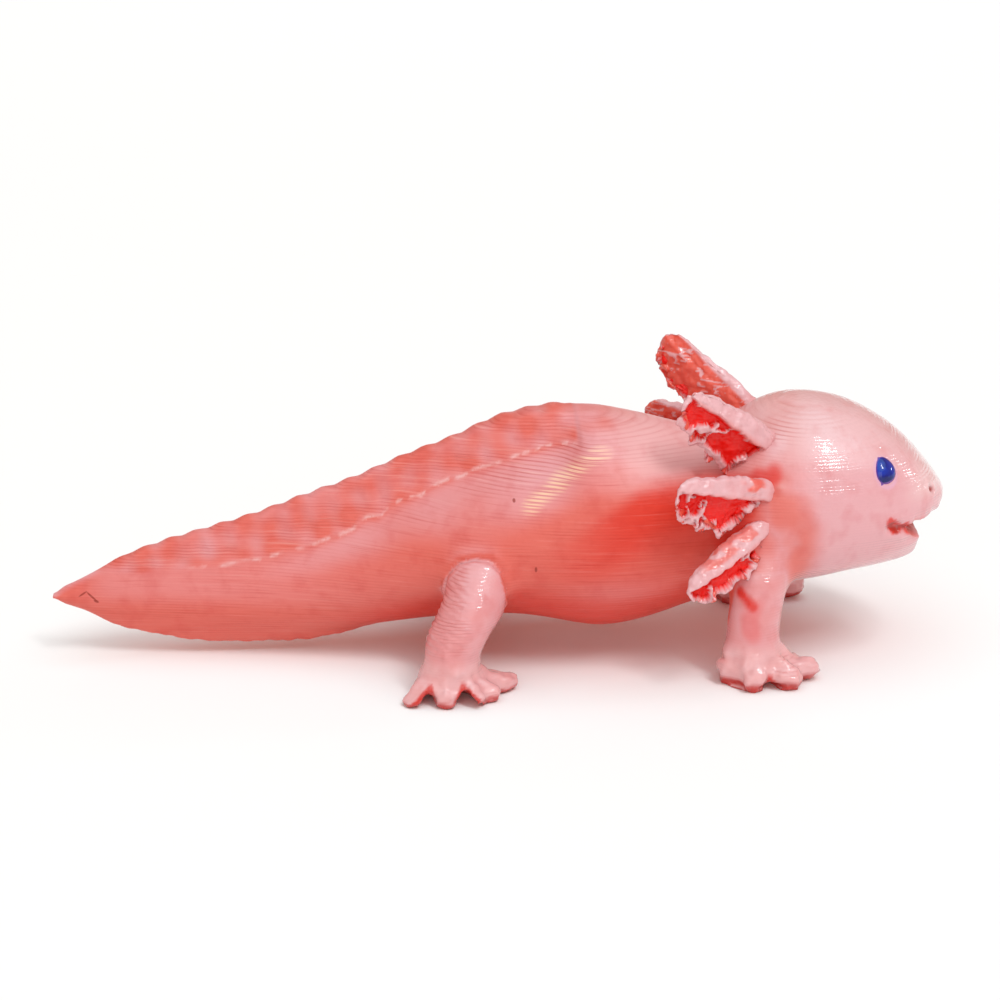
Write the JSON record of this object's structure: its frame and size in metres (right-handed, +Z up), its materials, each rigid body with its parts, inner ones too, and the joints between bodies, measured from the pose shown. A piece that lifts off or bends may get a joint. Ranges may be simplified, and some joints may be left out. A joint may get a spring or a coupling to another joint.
{
  "type": "axolotl figurine",
  "caption": "Small painted figurine of a standing pink axolotl with feathery gills, parted mouth, splayed feet and a long finned tail.",
  "frame": {"origin": "bottom centre of the bounding box, on the plane the soles stand on", "axes": "+X towards the nose, +Y the animal's left, +Z up"},
  "size_m": [0.0804, 0.0286, 0.0269],
  "materials": {
    "pink_enamel": "glossy hand-brushed pink enamel over printed layers",
    "gill_enamel": "glossy pink enamel with bright red in the gill fringes",
    "red_enamel": "wet-looking red enamel",
    "blue_enamel": "glossy blue enamel bead"
  },
  "bodies": {
    "root": {"trunk": "pink_enamel", "neck": "pink_enamel", "head": "pink_enamel", "lower_jaw": "pink_enamel", "tail_base": "pink_enamel", "tail_tip": "pink_enamel", "dorsal_fin": "pink_enamel", "ventral_fin": "pink_enamel", "foreleg_left": "pink_enamel", "foreleg_right": "pink_enamel", "forefoot_left": "pink_enamel", "forefoot_right": "pink_enamel", "hindleg_left": "pink_enamel", "hindleg_right": "pink_enamel", "hindfoot_left": "pink_enamel", "hindfoot_right": "pink_enamel", "gill_left_upper": "gill_enamel", "gill_left_middle": "gill_enamel", "gill_left_lower": "gill_enamel", "gill_right_upper": "gill_enamel", "gill_right_middle": "gill_enamel", "gill_right_lower": "gill_enamel", "mouth_lining": "red_enamel", "eye_left": "blue_enamel", "eye_right": "blue_enamel"}
  },
  "joints": []
}
